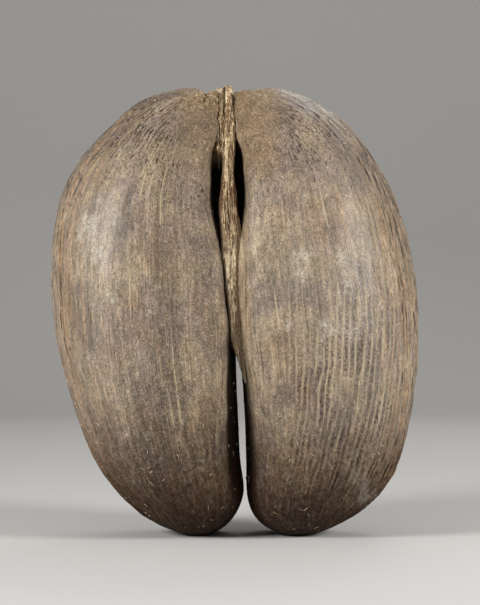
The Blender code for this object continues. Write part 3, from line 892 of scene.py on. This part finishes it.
def shell_material():
    n = Nodes("shell_look")
    grain = n.attribute("grain", "Vector")
    place = n.position()
    spot = n.scaled(place, (1000, 1000, 1000))
    names = "flank crown cleft ridged turn wander fibrous woolly scuffed dim".split()
    flank, crown, cleft, ridged, turn, wander, fibrous, woolly, scuffed, dim = map(
        n.attribute, names
    )

    def spots(tall, offset, *noise):
        return n.noise(n.scaled(spot, (1, 1, tall), offset), *noise)

    def strands(run, offset, *noise):
        return n.noise(n.along(grain, run, offset), *noise)

    def specks(noise, bare, share, zone, soft):
        """Spots where the noise passes a limit, which is lower the stronger the zone is."""
        limit = n.math("SUBTRACT", bare, n.times(zone, share))
        return n.span(n.math("SUBTRACT", noise, limit), 0.0, soft)

    ridge = n.math("COSINE", n.math("ADD", n.times(turn, RIDGE_COUNT), wander))
    height = n.part(place, 2)

    blotch = n.noise(spot, 0.026, 4, 0.6, 0.4)
    patch = spots(0.55, (31, 7, 19), 0.05, 3, 0.6, 0.3)
    cloud = spots(0.7, (8, 70, 4), 0.12, 3, 0.6, 0.5)
    fine = strands(85, (0, 0, 0), 0.62, 3, 0.6)
    broad = strands(35, (17, 5, 3), 0.24, 3, 0.55)
    stipple = n.noise(spot, 0.85, 2, 0.65)
    flecks = strands(260, (6, 2, 8), 0.46, 3, 0.62, 0.3)
    medium = spots(0.6, (44, 2, 8), 0.085, 3, 0.6, 0.4)
    grit = spots(1, (5, 9, 2), 1.4, 1, 0.6)
    wool = spots(0.7, (2, 6, 1), 0.6, 3, 0.6, 0.7)
    leather = n.cells(n.scaled(spot, (1, 1, 0.8), (4, 4, 9)), 0.34, "DISTANCE_TO_EDGE")
    mottle = spots(0.8, (12, 8, 4), 0.34, 4, 0.65, 0.6)

    # Ground: tan and grey-lilac patches, warm streaks on the flanks
    colour = n.mix(n.span(blotch, 0.42, 0.58), "tan", "grey")
    colour = n.lay(colour, "brown", 0.6, patch, 0.5, 0.66)
    colour = n.lay(colour, "lilac", 0.55, cloud, 0.52, 0.66)
    colour = n.lay(colour, "ochre", 0.4, cloud, 0.46, 0.34)
    warm = n.times(n.span(broad, 0.42, 0.6), n.times(flank, 0.7))
    colour = n.mix(warm, colour, "flank")
    colour = n.mix(n.times(woolly, 0.55), colour, "wool")
    # Darker on the left lobe's face towards the cleft: partly its own grey-lilac tone, partly
    # painted shade
    colour = n.shade(colour, dim, 0.0, 1.0, 1.0, 0.75)

    # Streaks, fibres and stipple as lighter and darker than the ground
    grained = n.span(n.math("MAXIMUM", woolly, n.times(crown, 0.6)), 0.0, 1.0, 1.0, 0.12)
    patchy = spots(0.5, (77, 3, 21), 0.055, 3, 0.6)
    patchy = n.times(n.span(patchy, 0.40, 0.60, 0.25, 1.0), grained)
    band = strands(90, (51, 22, 18), 0.085, 3, 0.55)
    for look in (
        (broad, 0.32, 0.68, 0.84, 1.16, grained), (fine, 0.32, 0.68, 0.74, 1.26, grained),
        (mottle, 0.30, 0.70, 0.74, 1.26), (flecks, 0.30, 0.70, 0.66, 1.34, patchy),
        (medium, 0.32, 0.68, 0.80, 1.20), (band, 0.36, 0.64, 0.82, 1.18, grained),
        (leather, 0.0, 0.12, 0.68, 1.06, 0.6, True), (stipple, 0.28, 0.72, 0.66, 1.34),
        (cloud, 0.30, 0.70, 0.78, 1.22), (wool, 0.32, 0.68, 0.7, 1.3, woolly),
    ):
        colour = n.shade(colour, *look)
    colour = n.lay(colour, "pale grit", 0.5, grit, 0.6, 0.7)
    colour = n.lay(colour, "dark grit", 0.6, grit, 0.38, 0.3)

    # Long thin lines from crown to foot, some pale and some dark, all broken
    for seed, hue in ((1, "pale vein"), (2, "dark vein")):
        vein = strands(9, (seed * 13, 7, seed * 5), 0.2, 1, 0.5)
        offset = n.math("ABSOLUTE", n.math("SUBTRACT", vein, 0.5))
        vein = n.span(offset, 0.013, 0.005)
        cut = strands(500, (seed * 7, 3, 11), 0.09, 3, 0.6)
        vein = n.times(vein, n.span(cut, 0.47, 0.58))
        vein = n.times(vein, n.times(grained, 0.6))
        colour = n.mix(vein, colour, hue)

    # Dark broken dashes in rows on the flanks and round the crown, a few amber lines
    bald = n.math("SUBTRACT", crown, woolly, True)
    zone = n.math("MAXIMUM", n.times(flank, 0.85), bald)
    cluster = spots(0.4, (3, 3, 3), 0.05, 2, 0.5)
    zone = n.times(zone, n.span(cluster, 0.30, 0.5))
    zone = n.times(zone, n.span(n.part(place, 1), 0.045, 0.02))
    row = n.span(strands(14, (5, 5, 2), 0.36, 2, 0.5), 0.50, 0.60)
    line = n.span(ridge, 0.45, 0.85)
    marks = strands(420, (3, 41, 7), 0.62, 3, 0.6)
    mark = n.times(line, specks(marks, 0.80, 0.355, zone, 0.05))
    broken = strands(130, (23, 4, 9), 0.55, 3, 0.6)
    broken = specks(broken, 0.80, 0.33, n.times(flank, row), 0.04)
    mark = n.math("MAXIMUM", mark, broken)
    pits = strands(480, (13, 4, 9), 0.72, 2, 0.5)
    mark = n.math("MAXIMUM", mark, specks(pits, 0.72, 0.14, bald, 0.05))
    colour = n.mix(n.times(mark, 0.92), colour, "mark")
    amber = n.span(strands(24, (9, 1, 1), 0.4, 2, 0.5), 0.62, 0.68)
    amber = n.times(amber, n.math("ADD", n.times(flank, 0.34), 0.06))
    colour = n.mix(amber, colour, "amber")

    # Ridges of the right lobe: pale backs, dark stippled furrows
    gaps = n.span(strands(120, (2, 9, 4), 0.12, 2, 0.5), 0.36, 0.54)
    ridged = n.times(ridged, n.span(flank, 0.2, 1.0, 1.0, 0.35))
    back = n.times(ridged, n.span(ridge, 0.15, 0.98))
    colour = n.mix(n.times(n.times(back, gaps), 0.62), colour, "ridge")
    furrow = n.times(n.times(ridged, gaps), n.span(ridge, 0.4, -0.2))
    dots = n.cells(n.along(grain, 900), 0.62)
    furrow = n.times(furrow, n.span(dots, 0.60, 0.36))
    colour = n.mix(n.times(furrow, 0.85), colour, "furrow")

    # Straw where husk still clings, painted shade in the cleft, and painted shade that makes the
    # shell browner and darker towards the feet
    straw = strands(120, (1, 2, 3), 0.8, 3, 0.6)
    straw = n.times(fibrous, n.span(straw, 0.42, 0.62))
    colour = n.mix(n.times(straw, 0.6), colour, "straw")
    # Pale speckled spots: worn patches, and on the lobes' lit faces painted highlights with a
    # soft painted sheen
    wear_and_glint = spots(0.6, (60, 12, 33), 0.07, 5, 0.75)
    wear_and_glint = n.math("ADD", wear_and_glint, n.times(scuffed, 0.18))
    wear_and_glint = n.times(n.span(wear_and_glint, 0.60, 0.74), n.span(stipple, 0.40, 0.58, 0.1, 0.75))
    colour = n.mix(wear_and_glint, colour, "pale wear and glint")
    colour = n.mix(n.times(scuffed, 0.10), colour, "soft sheen and wear")
    # Near-black painted shade in the cleft and the gap between the lobes
    colour = n.mix(n.times(cleft, 0.96), colour, "cleft")
    # Painted shade towards the feet: darker and browner the lower the shell is
    colour = n.shade(colour, height, 0.0, 0.11, 0.46, 1.0, smooth=True)
    low = n.span(height, 0.115, 0.0)
    low_part = n.span(flecks, 0.35, 0.65, 0.95, 0.55)
    colour = n.mix(n.times(low, low_part), colour, "foot")
    colour = n.shade(colour, height, 0.0, 0.05, 0.6, 1.0, smooth=True)
    colour = n.shade(colour, mottle, 0.35, 0.65, 0.55, 1.5, low)
    colour = n.mix(1.0, colour, (1.02, 1.0, 0.95, 1), "MULTIPLY")
    colour = n.mix(n.times(wear_and_glint, low), colour, "worn foot")

    rough = n.span(n.math("ADD", fine, n.times(patch, 0.5)), 0.5, 1.0, 0.38, 0.56)
    rough = n.math("ADD", rough, n.times(n.math("MAXIMUM", low, cleft), 0.4), True)
    dull = n.math("MAXIMUM", n.math("MAXIMUM", low, cleft), n.math("MAXIMUM", dim, woolly))

    fibres = n.bump(fine, 1.0 * MM, 0.8)
    creases = n.bump(mottle, 1.6 * MM, 0.8, fibres)
    creases = n.bump(n.span(leather, 0.0, 0.25), 0.35 * MM, 0.7, creases)
    grains = n.bump(stipple, 0.8 * MM, 0.8, creases)
    n.look({
        "Base Color": colour, "Roughness": rough, "Specular IOR Level": 0.2,
        "Coat Weight": n.span(dull, 0.0, 0.75, 0.85, 0.0), "Coat Roughness": 0.5,
        "Normal": n.bump(mark, -0.5 * MM, 0.8, grains),
    })
    return n.material


def husk_material():
    n = Nodes("husk_look")
    grain = n.attribute("grain", "Vector")
    tone, valley, joined, low = map(n.attribute, ("tone", "valley", "joined", "low"))
    spot = n.scaled(n.position(), (1000, 1000, 1000))
    strand = n.noise(n.scaled(grain, (1000, 60, 0)), 0.8, 3, 0.6)
    stipple = n.noise(spot, 1.0, 3, 0.7)
    patch = n.noise(n.scaled(spot, (1, 1, 0.5), (4, 8, 1)), 0.09, 3, 0.6)

    colour = n.mix(n.span(tone, 0.22, 0.8), "dark husk", "bright husk")
    colour = n.mix(n.times(low, 0.6), colour, "low husk")
    colour = n.mix(n.times(joined, 0.85), colour, "grown husk")
    colour = n.lay(colour, "weathered husk", 0.55, patch, 0.48, 0.66)
    colour = n.lay(colour, "pale strand", 0.35, strand, 0.53, 0.68)
    colour = n.lay(colour, "dark strand", 0.6, strand, 0.48, 0.34)
    colour = n.shade(colour, stipple, 0.3, 0.7, 0.42, 1.62)
    # Painted shade in the strip's furrows, slits and seams
    colour = n.lay(colour, "husk furrow", 0.85, valley, 0.25, 0.9)
    ridges = n.bump(strand, 0.5 * MM, 0.8)
    n.look({
        "Base Color": colour, "Roughness": 0.72, "Specular IOR Level": 0.3,
        "Normal": n.bump(stipple, 0.3 * MM, 0.6, ridges),
    })
    return n.material


def hair_material(name, light, dark):
    n = Nodes(name)
    spot = n.scaled(n.position(), (1000, 1000, 1000))
    share = n.span(n.noise(spot, 0.35, 2, 0.6), 0.38, 0.62)
    colour = n.mix(share, dark, light)
    n.look({"Base Color": colour, "Roughness": 0.6, "Specular IOR Level": 0.3})
    return n.material


def tubes_mesh(name, hairs, sides=4):
    """Thin closed tubes, each along its own path of points, pointed at both ends."""
    verts, faces = [], []
    for path, radius in hairs:
        path = np.array(path)
        count = len(path)
        ahead = np.gradient(path, axis=0)
        ahead /= np.linalg.norm(ahead, axis=1, keepdims=True) + 1e-12
        aside = np.cross(ahead, (0.31, 0.52, 0.79))
        aside /= np.linalg.norm(aside, axis=1, keepdims=True) + 1e-12
        above = np.cross(ahead, aside)
        base = len(verts)
        verts.append(path[0])
        for k in range(1, count - 1):
            thick = radius * min(1, 0.45 + 1.2 * k / count, 0.3 + 2.2 * (count - 1 - k) / count)
            for i in range(sides):
                turn = TAU * i / sides
                arm = math.cos(turn) * aside[k] + math.sin(turn) * above[k]
                verts.append(path[k] + thick * arm)
        verts.append(path[-1])
        last = base + 1 + (count - 2) * sides
        for i in range(sides):
            j = (i + 1) % sides
            faces.append((base, base + 1 + j, base + 1 + i))
            faces.append((last, last - sides + i, last - sides + j))
            for k in range(count - 3):
                row = base + 1 + k * sides
                faces.append((row + i, row + j, row + sides + j, row + sides + i))
    return new_mesh(name, [tuple(v) for v in verts], faces)


def clinging_path(tree, start, heading, length, lift, curl, rng, points=7):
    """A hair that follows the surface from a start point, bending as it goes."""
    path = []
    place = Vector(start)
    heading = Vector(heading)
    for k in range(points):
        near, normal, _, _ = tree.find_nearest(place)
        if near is None:
            break
        rise = lift * math.sin(math.pi * k / (points - 1))
        path.append(near + normal * (rise + 0.06 * MM))
        heading = heading - normal * heading.dot(normal)
        if heading.length < 1e-9:
            heading = normal.orthogonal()
        heading.normalize()
        heading.rotate(Quaternion(normal, curl * rng.uniform(0.2, 1.0)))
        place = near + heading * length / (points - 1)
    return path


def front_point(tree, x, z):
    """Where a ray from the front first meets the surface, if it does."""
    return tree.ray_cast(Vector((x, VIEW_START, z)), Vector((0, 1, 0)))[0]


def crown_fuzz(tree):
    """Woolly fibres beside the top of the husk, thickest left of it."""
    rng = np.random.default_rng(71)
    hairs = []
    for number in range(FUZZ_HAIRS + WOOL_HAIRS):
        if number < FUZZ_HAIRS:
            x = -12.5 - 28 * rng.beta(1.0, 1.9)
            z = 299.5 - 14 * rng.beta(1.1, 1.6) - 0.28 * (-12.5 - x)
            lift = rng.uniform(0.05, 0.7)
        else:
            x = rng.choice((-1, 1)) * rng.uniform(9, 46) * rng.uniform(0.4, 1) - 4
            z = rng.uniform(238, 297)
            lift = rng.uniform(0, 0.25)
        hit = front_point(tree, x * MM, z * MM)
        if hit is None:
            continue
        heading = (rng.normal(), 0.3 * rng.normal(), 0.8 * rng.normal())
        length = rng.uniform(2.0, 7.0) * MM * (1 if number < FUZZ_HAIRS else 0.6)
        path = clinging_path(tree, hit, heading, length, lift * MM, rng.normal(0, 0.5), rng)
        if len(path) > 3:
            hairs.append((path, rng.uniform(*FUZZ_RADII) * MM))
    return tubes_mesh("crown_fuzz", hairs)


def loose_hairs(mesh, tree):
    """Short pale hairs scattered over the shell, most of them along its grain."""
    rng = np.random.default_rng(72)
    points = mesh_points(mesh)
    hairs = []
    for index in rng.choice(len(points), LOOSE_HAIRS, replace=False):
        start = points[index]
        if start[2] < 6 * MM or rng.uniform() > 0.35 + start[2] / (120 * MM):
            continue
        heading = (0.6 * rng.normal(), 0.6 * rng.normal(), 1.2 * rng.normal())
        length = rng.uniform(1.8, 5.5) * MM
        lift = rng.uniform(0, 0.35) * MM
        path = clinging_path(tree, start, heading, length, lift, rng.normal(0, 0.35), rng)
        if len(path) > 3:
            hairs.append((path, rng.uniform(*HAIR_RADII) * MM))
    for x, z, length in LONG_HAIRS:
        hit = front_point(tree, x * MM, z * MM)
        path = clinging_path(tree, hit, (0.12, 0, -1), length * MM, 0.3 * MM, 0.05, rng, 12)
        hairs.append((path, HAIR_RADII[1] * MM))
    return tubes_mesh("shell_hairs", hairs)


def husk_fibres(tree, middle):
    """Loose fibres that run along the strip of husk."""
    rng = np.random.default_rng(73)
    table = np.array(STRIP_STATIONS, dtype=float)
    hairs = []
    for _ in range(HUSK_FIBRES):
        degrees = rng.uniform(-14, 70)
        left, right = (np.interp(degrees, table[:, 0], table[:, c]) for c in (1, 2))
        point, out = mouth_point(degrees)
        start = Vector(point + out * 4 * MM)
        start.x = rng.uniform(left + 0.4, right - 0.4) * MM
        start.y -= middle[1]
        down, _ = mouth_point(degrees + 1)
        heading = Vector(down - point) + Vector((rng.normal(0, 0.12) * 1.5 * MM, 0, 0))
        length = rng.uniform(6, 26) * MM
        lift = rng.uniform(0.1, 0.7) * MM
        path = clinging_path(tree, start, heading, length, lift, rng.normal(0, 0.05), rng, 10)
        if len(path) > 4:
            hairs.append((path, rng.uniform(*FIBRE_RADII) * MM))
    return tubes_mesh("husk_fibres", hairs)


def studio():
    """Pale floor that curves up into a backdrop, soft lights and the camera."""
    profile = [(FLOOR_FRONT, 0.0), (FLOOR_BACK, 0.0)]
    for k in range(1, CURVE_STEPS + 1):
        turn = math.pi / 2 * k / CURVE_STEPS
        rise = BACKDROP_CURVE - BACKDROP_CURVE * math.cos(turn)
        profile.append((FLOOR_BACK + BACKDROP_CURVE * math.sin(turn), rise))
    profile.append((FLOOR_BACK + BACKDROP_CURVE, BACKDROP_TOP))
    verts = [(side * BACKDROP_HALF_WIDTH, y, z) for side in (-1, 1) for y, z in profile]
    count = len(profile)
    faces = [(k, k + 1, count + k + 1, count + k) for k in range(count - 1)]
    mesh = new_mesh("backdrop", verts, faces)
    mesh.shade_smooth()
    backdrop = add_object("backdrop", mesh)
    n = Nodes("paper")
    n.look({"Base Color": PAPER, "Roughness": 0.9})
    mesh.materials.append(n.material)

    for name, place, target, size, power in LIGHTS:
        light = bpy.data.lights.new(name, "AREA")
        light.shape = "DISK"
        light.size = size
        light.energy = power
        lamp = add_object(name, light)
        lamp.location = place
        lamp.rotation_euler = (Vector(target) - Vector(place)).to_track_quat("-Z", "Y").to_euler()

    world = bpy.data.worlds.new("room")
    world.use_nodes = True
    room = world.node_tree.nodes["Background"]
    room.inputs["Color"].default_value = ROOM_COLOUR
    room.inputs["Strength"].default_value = ROOM_LIGHT
    bpy.context.scene.world = world
    bpy.context.scene.view_settings.view_transform = "Standard"

    camera = bpy.data.cameras.new("camera")
    camera.sensor_width = SENSOR
    camera.lens = CAMERA_DISTANCE / PIXEL * SENSOR / IMAGE_HEIGHT
    view = add_object("camera", camera)
    aim_x = (IMAGE_WIDTH / 2 - NUT_MIDDLE_PIXEL) * PIXEL
    aim_z = (FLOOR_PIXEL - IMAGE_HEIGHT / 2) * PIXEL
    view.location = (aim_x, -CAMERA_DISTANCE, aim_z)
    view.rotation_euler = (math.pi / 2, 0, 0)
    bpy.context.scene.camera = view


def finish_piece(thing, mesh, material, node=None):
    mesh.materials.clear()
    mesh.materials.append(material)
    mesh.shade_smooth()
    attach(thing, "root")
    if node:
        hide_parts(node)


shell, skin, grids, middle = shell_mesh()
shell.name = "nut_surface"
shape_shell(skin, grids, middle)
finish_piece(shell, skin, shell_material(), "nut")

husk, husk_skin = husk_mesh(middle, [points for points, _, _ in grids])
husk.name = "husk_surface"
finish_piece(husk, husk_skin, husk_material(), "husk_strip")

bpy.context.view_layer.update()
shell_tree, husk_tree = (
    BVHTree.FromPolygons([v.co for v in piece.vertices], [p.vertices for p in piece.polygons])
    for piece in (skin, husk_skin)
)
straw = hair_material("straw_look", "light fibre", "dark fibre")
pale = hair_material("pale_look", "light hair", "dark hair")
for piece, look, slot_name in (
    (crown_fuzz(shell_tree), straw, "dried_husk"),
    (loose_hairs(skin, shell_tree), pale, "nut_shell"),
    (husk_fibres(husk_tree, middle), straw, "dried_husk"),
):
    finish_piece(add_object(piece.name, piece), piece, look)

studio()


def corners(box):
    return [[float(c) for c in corner] for corner in box]
